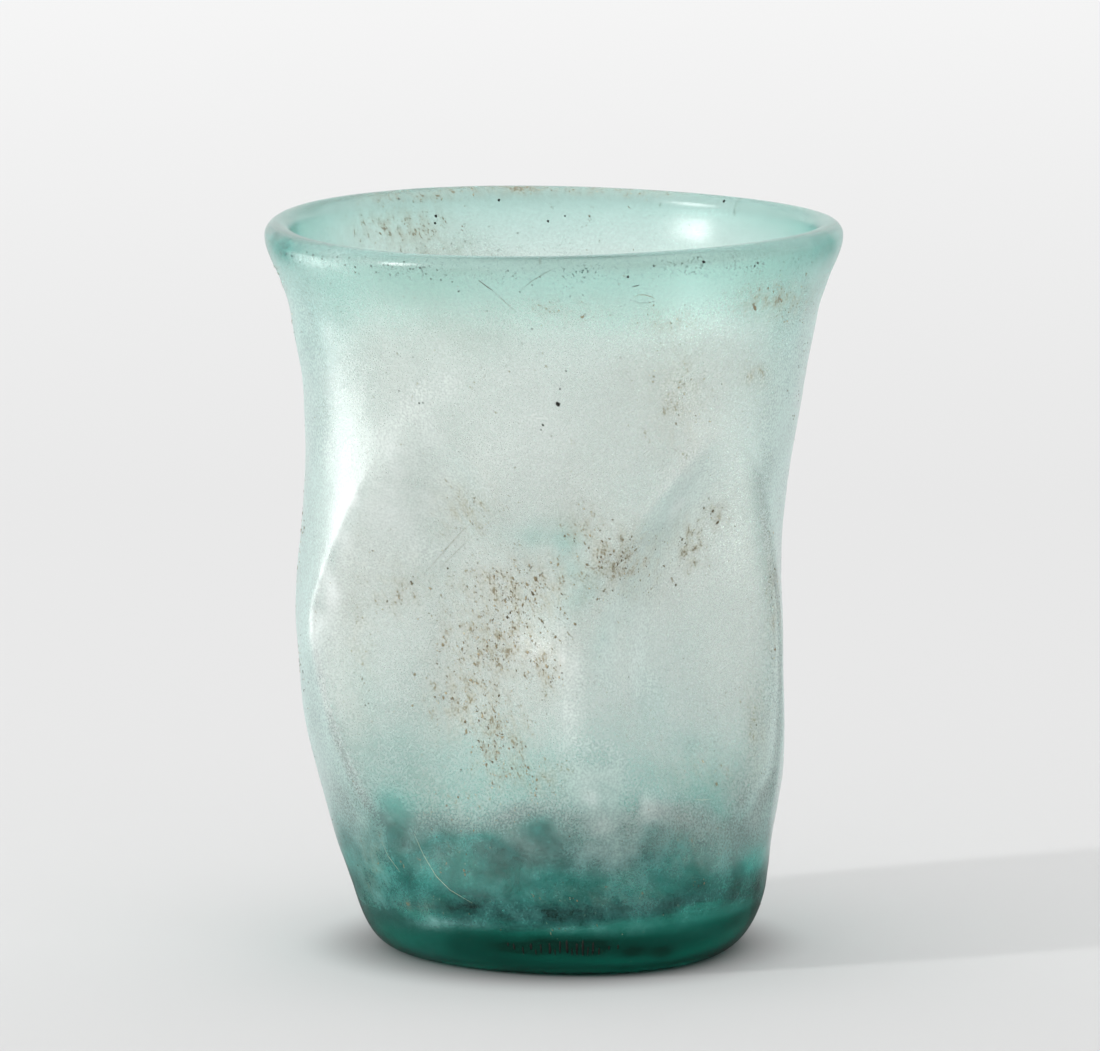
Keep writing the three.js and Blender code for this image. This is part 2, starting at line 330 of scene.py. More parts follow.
# The photograph's frame and its camera, so that marks can be placed where they show.
PHOTO_WIDTH = 1100
PHOTO_HEIGHT = 1051
SENSOR = 36
LENS = 340
CAMERA_PLACE = Vector((-0.0005, -1.4, 0.279))
CAMERA_TARGET = Vector((-0.0005, 0, 0.058))
TOWARD_CAMERA = -np.array((CAMERA_TARGET - CAMERA_PLACE).normalized())
RIGHTWARD = np.array(Vector(np.cross(-TOWARD_CAMERA, (0, 0, 1))).normalized())
UPWARD = np.cross(RIGHTWARD, -TOWARD_CAMERA)
VIEW_SCALE = LENS / SENSOR * PHOTO_WIDTH

# How wide a pixel of the photograph is at the beaker, in metres.
PIXEL = (CAMERA_TARGET - CAMERA_PLACE).length / VIEW_SCALE


def photo_place(points):
    """Where points lie in the photograph, in its pixels."""
    away = points - np.array(CAMERA_PLACE)
    scale = VIEW_SCALE / (away @ -TOWARD_CAMERA)
    return np.stack([
        PHOTO_WIDTH / 2 + (away @ RIGHTWARD) * scale,
        PHOTO_HEIGHT / 2 - (away @ UPWARD) * scale,
    ], axis=-1)


def seen_at(surface, x, y):
    """The place and the normal of the nearest glass behind a pixel of the photograph."""
    aside = RIGHTWARD * (x - PHOTO_WIDTH / 2) - UPWARD * (y - PHOTO_HEIGHT / 2)
    place, normal, _, _ = surface.ray_cast(CAMERA_PLACE, Vector(aside - TOWARD_CAMERA * VIEW_SCALE))
    return place, normal


def met_from_outside(surface, angle, height):
    """The place and the normal of the glass where a level line at an angle meets it from outside."""
    way = Vector((math.cos(angle), math.sin(angle), 0))
    place, normal, _, _ = surface.ray_cast(way * HEIGHT + Vector((0, 0, height)), -way)
    return place, normal


# The outside ends at this share of the way around the lip.
OUTSIDE_SHARE = 0.3

# Soil stains seen in the photograph: place, half width and half height in its pixels, and strength.
FRONT_STAINS = [
    (495, 640, 55, 45, 0.9),
    (470, 700, 40, 40, 0.9),
    (520, 590, 70, 35, 0.8),
    (500, 740, 30, 50, 0.8),
    (545, 665, 18, 30, 0.8),
    (465, 510, 30, 28, 0.7),
    (400, 590, 35, 30, 0.5),
    (620, 560, 45, 35, 0.85),
    (590, 530, 30, 22, 0.6),
    (690, 545, 16, 26, 0.9),
    (715, 515, 14, 16, 0.7),
    (775, 300, 40, 18, 0.7),
    (560, 310, 60, 16, 0.3),
    (665, 320, 35, 14, 0.5),
    (755, 375, 12, 12, 0.7),
    (680, 400, 30, 60, 0.4),
    (775, 600, 12, 60, 0.5),
    (755, 730, 12, 50, 0.5),
    (360, 640, 16, 90, 0.3),
    (540, 780, 30, 20, 0.6),
    (460, 860, 40, 24, 0.2),
    (450, 805, 36, 34, 0.25),
    (600, 896, 70, 12, 0.3),
    (695, 850, 34, 34, 0.25),
    (700, 774, 40, 22, 0.35),
    (372, 860, 12, 34, 0.45),
    (420, 906, 26, 8, 0.4),
]
INNER_STAINS = [
    (400, 228, 45, 20, 0.9),
    (430, 240, 25, 20, 0.6),
    (500, 189, 90, 8, 0.9),
    (410, 196, 60, 7, 0.8),
    (620, 191, 80, 6, 0.8),
]

# How quickly those stains end, and the ones behind begin, where the glass turns away.
STAIN_TURN_FADE = 4

# The sides and the back, which the photograph doesn't show, have stains drawn between these limits.
BACK_STAINS = 22
BACK_STAIN_ANGLES = (math.radians(-35), math.radians(200))
BACK_STAIN_HEIGHT_SHARES = (0.15, 0.92)
BACK_STAIN_WIDTH = 0.004
BACK_STAIN_TALLNESS = 0.006
BACK_STAIN_SIZE_SHARES = (0.5, 1.8)
BACK_STAIN_STRENGTHS = (0.3, 0.85)


def draw_back_stains():
    """Stains on the sides and the back, as (angle, height, half width, half height, strength)."""
    draw = np.random.default_rng(5)
    stains = []
    for _ in range(BACK_STAINS):
        angle = draw.uniform(*BACK_STAIN_ANGLES)
        height = draw.uniform(*BACK_STAIN_HEIGHT_SHARES) * HEIGHT
        wide = draw.uniform(*BACK_STAIN_SIZE_SHARES) * BACK_STAIN_WIDTH
        tall = draw.uniform(*BACK_STAIN_SIZE_SHARES) * BACK_STAIN_TALLNESS
        stains.append((angle, height, wide, tall, draw.uniform(*BACK_STAIN_STRENGTHS)))
    return stains


def patch(places, x, y, wide, tall, strength):
    """How strong one soft-edged patch of the photograph is at places in its pixels."""
    away = ((places[:, 0] - x) / wide) ** 2 + ((places[:, 1] - y) / tall) ** 2
    return strength * np.exp(-away)


def stain_strength(points, outward, within):
    """How soiled each point is: as the photograph shows in front and far inside, drawn behind."""
    places = photo_place(points)
    toward = outward @ TOWARD_CAMERA * STAIN_TURN_FADE
    outside = within < OUTSIDE_SHARE
    total = np.zeros(len(points))
    for stains, side in ((FRONT_STAINS, outside), (INNER_STAINS, ~outside)):
        for stain in stains:
            total = np.maximum(total, patch(places, *stain) * side * toward.clip(0, 1))
    angles = np.arctan2(points[:, 1], points[:, 0])
    for angle, height, wide, tall, strength in draw_back_stains():
        across = turn_between(angles, angle) * BELLY_RADIUS / wide
        away = across**2 + ((points[:, 2] - height) / tall) ** 2
        total = np.maximum(total, strength * np.exp(-away) * outside * (0.5 - toward).clip(0, 1))
    return total


def new_mesh(name, points, faces):
    mesh = bpy.data.meshes.new(name)
    mesh.from_pydata(np.array(points).tolist(), [], faces)
    mesh.update()
    mesh.shade_smooth()
    piece = bpy.data.objects.new(name, mesh)
    bpy.context.scene.collection.objects.link(piece)
    return piece


def give_attribute(piece, name, values):
    made = piece.data.attributes.new(name, "FLOAT", "POINT")
    made.data.foreach_set("value", np.asarray(values, dtype=np.float32))


# Waves in the blown wall: their lengths and heights, and how much flatter they are at the lip.
SLOW_WAVE = 0.013
SLOW_WAVE_HEIGHT = 0.00007
QUICK_WAVE = 0.0045
QUICK_WAVE_HEIGHT = 0.00001
LIP_STEADINESS = 0.7

# Where the glass is deep in colour: above the foot in tongues, in the foot, which has a paler side, and at
# the lip. Edges are heights, and a fade is how soft an edge is.
DEEP_EDGE = 0.019
DEEP_TONGUE = 0.003
DEEP_TONGUE_SHARE = 0.35
DEEP_CHANCE_SHARE = 0.4
DEEP_CHANCE_WAVE = 0.016
DEEP_FADE = 0.0026
FOOT_EDGE = 0.0069
FOOT_FADE = 0.0004
FLOOR_EDGE = 0.0105
FOOT_PALE_ANGLE = math.radians(212)
FOOT_PALE_HALF_ANGLE = math.radians(42)
FOOT_PALER = 0.5
LIP_EDGE = 0.0935
LIP_FADE = 0.0028
LIP_TINT = 0.38

# How much less of the weathered skin the inside has.
INSIDE_CLEANNESS = 0.9


def wavy(points, seed):
    """Slow waves with quick ones on them."""
    slow = SLOW_WAVE_HEIGHT * ripple(points, seed, SLOW_WAVE)
    return slow + QUICK_WAVE_HEIGHT * ripple(points, seed + 1, QUICK_WAVE)


def uneven(points, height, within):
    """The outward moves that make the bubble slightly wavy, less so at the foot and the lip."""
    foot = (height / HEEL_HEIGHT).clip(0, 1)
    lip = 1 - LIP_STEADINESS * ((height - HEIGHT + LIP_ZONE) / LIP_ZONE).clip(0, 1)
    fade = lip * np.where(within > 0.5, 1, foot**2)
    return fade * (wavy(points, seed=1) * (1 - within) - wavy(points, seed=3) * within)


# Teal patches, written as the soil stains are: deeper colour where the glass is thick in the base and at
# the lip's ends, and painted shade at the head of the front ridge, beside it and on the lower flanks of
# the indents.
TEAL_PATCHES = [
    # Painted shade at the head of the front ridge and beside it.
    (548, 545, 36, 22, 0.4),
    (578, 585, 22, 36, 0.34),
    (605, 640, 20, 50, 0.2),
    # Painted shade on the lower flanks of the indents.
    (365, 720, 30, 90, 0.12),
    (660, 700, 45, 60, 0.1),
    (410, 745, 50, 40, 0.12),
    (390, 822, 22, 32, 0.45),
    (420, 850, 30, 26, 0.2),
    (470, 765, 40, 40, 0.2),
    (470, 864, 52, 38, 0.8),
    (540, 828, 32, 22, 0.42),
    (655, 850, 40, 34, 0.42),
    (420, 872, 26, 20, 0.62),
    (486, 872, 30, 14, 0.95),
    (520, 772, 40, 30, 0.22),
    (575, 892, 60, 10, 0.34),
    (750, 810, 24, 40, 0.12),
    (700, 775, 45, 50, 0.24),
    (746, 894, 28, 22, 0.6),
    (268, 243, 28, 22, 0.72),
    (838, 243, 26, 20, 0.6),
    (320, 330, 30, 40, 0.12),
    (790, 330, 22, 50, 0.12),
]

# Patches where the glass is pricked all over, written likewise.
GRIT_PATCHES = [
    (290, 250, 30, 20, 1),
    (340, 258, 40, 14, 0.9),
    (430, 268, 80, 12, 0.8),
    (560, 272, 100, 12, 0.75),
    (710, 264, 90, 14, 0.8),
    (815, 250, 30, 18, 1),
    (560, 330, 240, 50, 0.2),
    (700, 770, 70, 60, 0.5),
    (470, 860, 60, 40, 0.5),
]

# Deeper shades in the foot: the scar seen through it and the lens of glass beside that.
FOOT_PATCHES = [
    (558, 947, 60, 9, 0.95),
    (645, 952, 42, 8, 0.6),
    (470, 946, 60, 9, 0.4),
]

# Patches that whiten the glass, written as the soil stains are: a whitish skin low in the base, and
# painted highlights and sheen along the left ridge, down the front ridge, over the upper wall and on the
# shaded flanks of the right indent.
WHITISH_SKIN_AND_HIGHLIGHT_PATCHES = [
    (600, 785, 26, 50, 0.5),
    (598, 826, 18, 14, 0.5),
    (608, 800, 14, 14, 0.6),
    (645, 806, 30, 18, 0.6),
    (615, 862, 42, 26, 0.55),
    # Painted highlight down the front ridge, then painted sheen over the upper wall and beside the ridge.
    (572, 690, 14, 60, 0.6),
    (560, 390, 90, 70, 0.15),
    (405, 480, 50, 90, 0.5),
    (420, 390, 50, 60, 0.25),
    (620, 650, 40, 60, 0.35),
    (372, 858, 18, 44, 0.6),
    # Painted highlight along the left ridge.
    (350, 460, 12, 60, 0.25),
    (350, 505, 12, 34, 0.6),
    (342, 548, 13, 36, 0.7),
    (330, 590, 12, 36, 0.65),
    (318, 630, 10, 40, 0.5),
    (440, 860, 40, 16, 0.2),
    (645, 852, 28, 20, 0.65),
    (455, 924, 60, 6, 0.6),
    # Painted glints on the front ridge.
    (561, 655, 5, 26, 0.95),
    (567, 698, 6, 20, 0.95),
    (594, 800, 9, 16, 0.9),
    # Painted light over the shaded upper flanks of the right indent.
    (640, 560, 22, 26, 0.3),
    (676, 508, 22, 30, 0.5),
    (696, 474, 16, 24, 0.4),
    (760, 800, 20, 50, 0.15),
    (330, 264, 34, 14, 0.3),
    (610, 930, 80, 5, 0.35),
]

# Patches are uneven in bumps about this far apart, and have faded out this far behind the middle.
PATCH_BUMP = 0.005
PATCH_UNEVENNESS = 0.35
PATCH_END = 0.014


def patch_strength(points, within, patches):
    """The strongest of the patches at each point of the front."""
    places = photo_place(points)
    front = (within < OUTSIDE_SHARE) * (1 - points[:, 1] / PATCH_END).clip(0, 1)
    total = np.zeros(len(points))
    for each in patches:
        total = np.maximum(total, patch(places, *each) * front)
    return total * (1 + PATCH_UNEVENNESS * ripple(points, 8, PATCH_BUMP)).clip(0, 2)


def share_above(height, edge, fade):
    """A soft step from 0 below an edge to 1 above it."""
    return 1 / (1 + np.exp((edge - height) / fade))


def glass_tint(points, angle, within):
    """The depth of colour, near 1 above the foot and 2 in it, and how far each point is in the foot."""
    height = points[:, 2]
    tongue = DEEP_TONGUE_SHARE * np.cos(POOL_TONGUES * (angle - POOL_TURN))
    tongue += DEEP_CHANCE_SHARE * ripple(points, 6, DEEP_CHANCE_WAVE)
    deep = 1 - share_above(height, DEEP_EDGE + DEEP_TONGUE * tongue, DEEP_FADE)
    foot = 1 - share_above(height, np.where(within > 0.5, FLOOR_EDGE, FOOT_EDGE), FOOT_FADE)
    pale_side = (turn_between(angle, FOOT_PALE_ANGLE) / FOOT_PALE_HALF_ANGLE).clip(-1, 1)
    foot *= 1 - FOOT_PALER * swell(pale_side)
    lip = LIP_TINT * share_above(height, LIP_EDGE, LIP_FADE)
    # The teal patches, some of them painted shade.
    patches = patch_strength(points, within, TEAL_PATCHES)
    return deep + patches + lip + foot * (1 + patch_strength(points, within, FOOT_PATCHES)), foot


def vessel_faces(rows):
    """The faces of rows of points around the glass, whose two end points come last."""
    faces = []
    for i in range(rows - 1):
        here, above = i * AROUND, (i + 1) * AROUND
        for j in range(AROUND):
            k = (j + 1) % AROUND
            faces.append((here + j, here + k, above + k, above + j))
    kick_end, floor_end = rows * AROUND, rows * AROUND + 1
    last = (rows - 1) * AROUND
    for j in range(AROUND):
        k = (j + 1) % AROUND
        faces.append((kick_end, k, j))
        faces.append((floor_end, last + j, last + k))
    return faces


def make_vessel():
    rings, within = vessel_section()
    angles = np.linspace(0, 2 * math.pi, AROUND, endpoint=False)
    middle = rings[1:-1]
    rows = len(middle)
    angle = np.tile(angles, rows)
    height = np.repeat(middle[:, 1], AROUND)
    side = np.repeat(within[1:-1], AROUND)
    points = worked(np.repeat(middle[:, 0], AROUND), angle, height)
    move = uneven(points, height, side)
    points[:, 0] += move * np.cos(angle)
    points[:, 1] += move * np.sin(angle)
    ends = [worked(np.zeros(1), np.zeros(1), rings[i : i + 1, 1]) for i in (0, len(rings) - 1)]
    points = np.clip(np.vstack([points, *ends]), *np.array(cad_box))
    side = np.append(side, [0, 1])
    angle = np.append(angle, [0, 0])
    vessel = new_mesh("glass_vessel", points, vessel_faces(rows))
    outward = np.array([v.vector for v in vessel.data.vertex_normals])
    tint, foot = glass_tint(points, angle, side)
    give_attribute(vessel, "soil", stain_strength(points, outward, side))
    give_attribute(vessel, "tint", tint)
    give_attribute(vessel, "foot", foot)
    give_attribute(vessel, "film", 1 - INSIDE_CLEANNESS * side)
    # Whitened patches: a whitish skin in a few places, painted highlights and sheen in most.
    give_attribute(vessel, "pale", patch_strength(points, side, WHITISH_SKIN_AND_HIGHLIGHT_PATCHES))
    give_attribute(vessel, "grit", patch_strength(points, side, GRIT_PATCHES))
    give_attribute(vessel, "lip", share_above(points[:, 2], LIP_EDGE, LIP_FADE))
    return vessel


# Crusts of soil are low domes that lean down to the right, each with a raised shoulder inside its foot.
FLECK_AROUND = 9
FLECK_LENGTH = 0.00026
FLECK_RISE = 0.00005
FLECK_SINK = 0.00003
FLECK_SHOULDER_REACH_SHARE = 0.6
FLECK_SHOULDER_RISE_SHARE = 0.7
FLECK_BUMP_SHARES = (0.7, 1.25)
FLECK_LEAN = math.radians(-58)
FLECK_LEAN_SPREAD = 0.5

# How the crusts vary in length, in slimness and in tone, and how wide they scatter over a stain.
FLECK_LENGTH_SPREAD = 0.45
FLECK_SLIMNESS_SHARE = 0.6
FLECK_WIDTH_SHARES = (0.6, 1.3)
FLECK_TONE_SPREAD = 0.12
FLECK_SCATTER_SHARE = 0.5

# How many crusts there are, how long and of what tone, in front, far inside, behind and loose. Those in
# front and far inside have a few crumbs beside them, scattered by this many pixels.
FRONT_FLECKS = 900
FRONT_TONE = 0.6
INNER_LENGTH_SHARE = 0.6
INNER_TONE = 0.85
CRUMBS_BELOW = 4
CRUMB_SCATTER_PIXELS = 3
CRUMB_LENGTH_SHARE = 0.7
BACK_FLECKS = 500
BACK_LENGTH_SHARE = 1.3
BACK_TONE = 0.55
LOOSE_FLECKS = 700
LOOSE_LENGTH_SHARE = 0.55
LOOSE_TONE = 0.4
LOOSE_SLIMNESS_SHARE = 0.8
LOOSE_HEIGHT_SHARES = (0.06, 0.97)

# Black pits and dark specks seen in the photograph: their place and their size across in its pixels.
PITS = [
    (558, 404, 5.5), (560, 389, 2), (566, 371, 2), (543, 425, 2.6), (541, 430, 2), (704, 262, 4.2),
    (698, 257, 2), (654, 266, 2.6), (628, 277, 3.2), (758, 263, 2.6), (755, 266, 2.6), (747, 267, 1.6),
    (696, 274, 1.6), (570, 297, 1.6), (583, 295, 1.6), (532, 329, 1.8), (419, 403, 2.6), (423, 403, 1.8),
    (399, 391, 1.8), (413, 357, 1.8), (341, 312, 1.6), (487, 311, 1.6), (292, 256, 2.8), (313, 255, 2.6),
    (285, 255, 2.2), (345, 265, 2.2), (355, 267, 2.6), (359, 274, 1.6), (365, 257, 1.6), (383, 265, 1.6),
    (388, 265, 2), (390, 275, 1.8), (398, 273, 1.8), (410, 269, 1.8), (413, 269, 1.8), (431, 279, 2),
    (441, 280, 2), (446, 275, 1.8), (459, 291, 1.6), (508, 271, 1.6), (513, 276, 1.6), (520, 292, 1.8),
    (300, 262, 2), (307, 252, 1.8), (322, 259, 2.4), (330, 266, 1.8), (337, 257, 2), (349, 258, 1.8),
    (371, 266, 2.4), (376, 272, 1.8), (404, 262, 2), (420, 268, 2.2), (426, 274, 1.8), (437, 270, 1.8),
    (452, 282, 1.8), (532, 285, 1.8), (540, 277, 1.8), (812, 262, 2), (820, 254, 1.8), (798, 268, 1.8),
    (784, 262, 1.8), (727, 268, 1.8), (682, 263, 1.8), (499, 200, 3), (399, 199, 2), (724, 201, 4),
    (548, 221, 3), (565, 216, 2), (436, 216, 4), (435, 223, 3),
]
PIT_WIDTH_SHARE = 0.85
PIT_TONE = 0

# Thin raised lines: width in metres, tone from dark to pale, and course in pixels. Most are soil in
# scratches; two arcs in the collar are a seed bubble's painted highlight and its painted dark edge.
SCRATCHES = [
    (0.00016, 0.25, [(478, 280), (486, 286), (493, 291)]),
    (0.00007, 0.45, [(493, 291), (505, 302), (516, 312)]),
    (0.00016, 0.05, [(632, 287), (640, 285)]),
    (0.00006, 0.5, [(423, 575), (440, 556), (462, 531), (481, 515)]),
    (0.00005, 0.6, [(440, 568), (452, 556), (470, 538)]),
    (0.00012, 0.9, [(414, 834), (424, 856), (436, 876), (450, 890), (472, 903)]),
    (0.0001, 0.9, [(382, 842), (388, 856), (400, 872)]),
    (0.00008, 0.9, [(694, 799), (702, 800), (712, 799)]),
    # A seed bubble's painted highlight, then its painted dark edge.
    (0.00014, 0.95, [(633, 298), (638, 295), (645, 295), (652, 297), (656, 300)]),
    (0.00007, 0.3, [(633, 300), (639, 303), (648, 303), (655, 301)]),
    (0.00007, 0.35, [(520, 291), (532, 281), (545, 273), (555, 268)]),
]

# Dark streaks of iron over the scar: their place, width and height in pixels.
STREAKS = [
    (508, 944, 2, 6), (514, 947, 2.4, 9), (523, 950, 2, 11), (531, 947, 2.6, 9), (536, 952, 1.6, 8),
    (541, 949, 2, 13), (550, 949, 3, 14), (555, 952, 1.6, 10), (560, 948, 2, 15), (567, 948, 3, 17),
    (572, 951, 1.6, 11), (577, 949, 2.4, 15), (583, 948, 3.2, 17), (588, 951, 1.8, 12),
    (593, 949, 2.4, 14), (599, 951, 1.8, 9), (609, 948, 2, 5), (618, 947, 2, 6),
]
STREAK_LEAN = math.radians(90)


def fleck(place, normal, length, width, lean, bumps):
    """The points of a low closed dome on the glass: foot ring, raised ring, top and underside."""
    across = Vector((0, 0, 1)).cross(normal).normalized()
    upward = normal.cross(across)
    along = across * math.cos(lean) + upward * math.sin(lean)
    aside = normal.cross(along)
    points = []
    shoulder = (FLECK_SHOULDER_REACH_SHARE, FLECK_SHOULDER_RISE_SHARE * FLECK_RISE)
    for share, rise in ((1, -FLECK_SINK), shoulder):
        for i in range(FLECK_AROUND):
            turn = 2 * math.pi * i / FLECK_AROUND
            reach = share * bumps[i] / 2
            out = along * (math.cos(turn) * length * reach) + aside * (math.sin(turn) * width * reach)
            points.append(place + out + normal * rise)
    points.append(place + normal * FLECK_RISE)
    points.append(place - normal * FLECK_SINK)
    return points


def fleck_faces(start):
    faces = []
    top, under = start + 2 * FLECK_AROUND, start + 2 * FLECK_AROUND + 1
    for i in range(FLECK_AROUND):
        k = (i + 1) % FLECK_AROUND
        foot, next_foot = start + i, start + k
        ring, next_ring = foot + FLECK_AROUND, next_foot + FLECK_AROUND
        faces.append((foot, next_foot, next_ring, ring))
        faces.append((ring, next_ring, top))
        faces.append((next_foot, foot, under))
    return faces


def scatter_flecks(surface):
    """The crusts of the stains and loose ones, as (place, normal, length, width, tone, lean)."""
    draw = np.random.default_rng(11)
    found = []

    def keep(hit, size, tone, slim=FLECK_SLIMNESS_SHARE):
        if hit[0] is not None:
            length = size * draw.lognormal(0, FLECK_LENGTH_SPREAD)
            width = length * slim * draw.uniform(*FLECK_WIDTH_SHARES)
            found.append((*hit, length, width, tone + draw.normal(0, FLECK_TONE_SPREAD)))

    stains = FRONT_STAINS + INNER_STAINS
    weights = np.array([wide * tall * strength**2 for _, _, wide, tall, strength in stains])
    for i in draw.choice(len(stains), FRONT_FLECKS, p=weights / weights.sum()):
        x, y, wide, tall, _ = stains[i]
        in_front = i < len(FRONT_STAINS)
        tone = FRONT_TONE if in_front else INNER_TONE
        length = FLECK_LENGTH * (1 if in_front else INNER_LENGTH_SHARE)
        x += draw.normal(0, wide * FLECK_SCATTER_SHARE)
        y += draw.normal(0, tall * FLECK_SCATTER_SHARE)
        keep(seen_at(surface, x, y), length, tone)
        for aside, below in draw.normal(0, CRUMB_SCATTER_PIXELS, (draw.integers(0, CRUMBS_BELOW), 2)):
            keep(seen_at(surface, x + aside, y + below), length * CRUMB_LENGTH_SHARE, tone)
    stains = draw_back_stains()
    for i in draw.integers(0, len(stains), BACK_FLECKS):
        angle, height, wide, tall, _ = stains[i]
        angle += draw.normal(0, wide * FLECK_SCATTER_SHARE / BELLY_RADIUS)
        height += draw.normal(0, tall * FLECK_SCATTER_SHARE)
        keep(met_from_outside(surface, angle, height), FLECK_LENGTH * BACK_LENGTH_SHARE, BACK_TONE)
    for _ in range(LOOSE_FLECKS):
        angle = draw.uniform(0, 2 * math.pi)
        hit = met_from_outside(surface, angle, draw.uniform(*LOOSE_HEIGHT_SHARES) * HEIGHT)
        keep(hit, FLECK_LENGTH * LOOSE_LENGTH_SHARE, LOOSE_TONE, LOOSE_SLIMNESS_SHARE)
    return [(*each, FLECK_LEAN + draw.normal(0, FLECK_LEAN_SPREAD)) for each in found]


def place_marks(surface):
    """The pits and the streaks, in the same form as the crusts."""
    marks = []
    for x, y, size in PITS:
        width = size * PIXEL * PIT_WIDTH_SHARE
        marks.append((*seen_at(surface, x, y), size * PIXEL, width, PIT_TONE, FLECK_LEAN))
    for x, y, wide, tall in STREAKS:
        marks.append((*seen_at(surface, x, y), tall * PIXEL, wide * PIXEL, PIT_TONE, STREAK_LEAN))
    return marks


def make_crust(surface):
    draw = np.random.default_rng(12)
    points, faces, tones = [], [], []
    for place, normal, length, width, tone, lean in scatter_flecks(surface) + place_marks(surface):
        bumps = draw.uniform(*FLECK_BUMP_SHARES, FLECK_AROUND)
        faces += fleck_faces(len(points))
        points += fleck(place, normal, length, width, lean, bumps)
        tones += [tone] * (2 * FLECK_AROUND + 2)
    for width, tone, course in SCRATCHES:
        first = len(points)
        faces += scratch(surface, points, width, course)
        tones += [tone] * (len(points) - first)
    crust = new_mesh("soil_crust_and_bubble_highlight", np.clip(points, *np.array(cad_box)), faces)
    give_attribute(crust, "tone", tones)
    return crust


SCRATCH_RISE = 0.00002
SCRATCH_STEPS = 4


def scratch(surface, points, width, course):
    """Adds the points of a low closed ridge along a course in pixels and returns its faces."""
    spots = []
    for (x0, y0), (x1, y1) in zip(course, course[1:]):
        for step in range(SCRATCH_STEPS):
            share = step / SCRATCH_STEPS
            spots.append(seen_at(surface, x0 + (x1 - x0) * share, y0 + (y1 - y0) * share))
    spots.append(seen_at(surface, *course[-1]))
    start = len(points)
    for i, (place, normal) in enumerate(spots):
        before, after = spots[max(i - 1, 0)][0], spots[min(i + 1, len(spots) - 1)][0]
        taper = math.sin(math.pi * (i + 1) / (len(spots) + 1))
        aside = normal.cross(after - before).normalized() * width / 2 * taper
        points += [place - aside - normal * FLECK_SINK, place + aside - normal * FLECK_SINK]
        points.append(place + normal * SCRATCH_RISE)
    faces = [(start, start + 1, start + 2)]
    for row in range(start, len(points) - 3, 3):
        for i in range(3):
            k = (i + 1) % 3
            faces.append((row + i, row + 3 + i, row + 3 + k, row + k))
    faces.append((len(points) - 3, len(points) - 1, len(points) - 2))
    return faces


# The broken ring of glass that the rod left under the kick, as wide and as deep as in the CAD model.
SCAR_RADIUS = 0.0062
SCAR_WIDTH = 0.0026
SCAR_DEPTH = 0.001
SCAR_SUNK = 0.00005
SCAR_AROUND = 220
SCAR_SECTION = 22
SCAR_JAG = 0.00022
SCAR_JAG_WIDTH = SCAR_WIDTH
SCAR_GRAIN = 0.00008
SCAR_GRAIN_WIDTH = SCAR_WIDTH / 3


def make_scar():
    low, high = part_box("pontil_scar")
    middle_x, middle_y = (low[0] + high[0]) / 2, (low[1] + high[1]) / 2
    angle = np.repeat(np.linspace(0, 2 * math.pi, SCAR_AROUND, endpoint=False), SCAR_SECTION)
    turn = np.tile(np.linspace(0, 2 * math.pi, SCAR_SECTION, endpoint=False), SCAR_AROUND)
    ring = np.stack([np.cos(angle), np.sin(angle), np.cos(turn)], axis=-1) * SCAR_RADIUS
    jag = SCAR_JAG * ripple(ring, 21, SCAR_JAG_WIDTH) + SCAR_GRAIN * ripple(ring, 22, SCAR_GRAIN_WIDTH)
    radius = SCAR_RADIUS - SCAR_WIDTH / 2 + (SCAR_WIDTH / 2 - np.abs(jag)) * np.cos(turn)
    hanging = np.sin(turn).clip(0, 1)
    depth = (SCAR_DEPTH - 2 * np.abs(jag)) * hanging
    height = KICK_HEIGHT + SCAR_SUNK * (hanging == 0) - depth
    across = radius * np.cos(angle)
    back = radius * np.sin(angle)
    points = np.stack([middle_x + across, middle_y + back, height], axis=-1)
    faces = []
    for i in range(SCAR_AROUND):
        k = (i + 1) % SCAR_AROUND
        for j in range(SCAR_SECTION):
            n = (j + 1) % SCAR_SECTION
            corners = ((i, j), (k, j), (k, n), (i, n))
            faces.append([row * SCAR_SECTION + column for row, column in corners])
    scar = new_mesh("rough_scar", points, faces)
    give_attribute(scar, "worn", jag / SCAR_JAG)
    return scar


def add(tree, kind, inputs=None, **settings):
    """A new node, with its settings and its unlinked inputs by name or number."""
    made = tree.nodes.new(kind)
    for name, value in settings.items():
        setattr(made, name, value)
    for name, value in (inputs or {}).items():
        if isinstance(value, bpy.types.NodeSocket):
            tree.links.new(value, made.inputs[name])
        else:
            made.inputs[name].default_value = value
    return made


def maths(tree, operation, first, second=0.0, third=0.0):
    return add(tree, "ShaderNodeMath", {0: first, 1: second, 2: third}, operation=operation).outputs[0]


def ramp(tree, value, low, high, least=0.0, most=1.0, kind="SMOOTHSTEP"):
    """A step from least to most as value goes from low to high."""
    inputs = {0: value, 1: low, 2: high, 3: least, 4: most}
    return add(tree, "ShaderNodeMapRange", inputs, interpolation_type=kind).outputs[0]


def more_where(tree, value, share, change):
    """The value times one plus the change where the share is one."""
    return maths(tree, "MULTIPLY", value, maths(tree, "MULTIPLY_ADD", share, change, 1.0))


def speckle(tree, where, scale, detail, rough):
    inputs = {"Vector": where, "Scale": scale, "Detail": detail, "Roughness": rough}
    return add(tree, "ShaderNodeTexNoise", inputs).outputs["Fac"]


def attribute(tree, name):
    return add(tree, "ShaderNodeAttribute", attribute_name=name).outputs["Fac"]


def start_material(name):
    """A new material, its node tree, its shader and where a point lies on the object."""
    material = bpy.data.materials.new(name)
    material.use_nodes = True
    tree = material.node_tree
    where = add(tree, "ShaderNodeTexCoord").outputs["Object"]
    return material, tree, tree.nodes["Principled BSDF"], where


def raise_bumps(tree, shader, height, strength, distance):
    bump = add(tree, "ShaderNodeBump", {"Strength": strength, "Distance": distance, "Height": height})
    tree.links.new(bump.outputs[0], shader.inputs["Normal"])


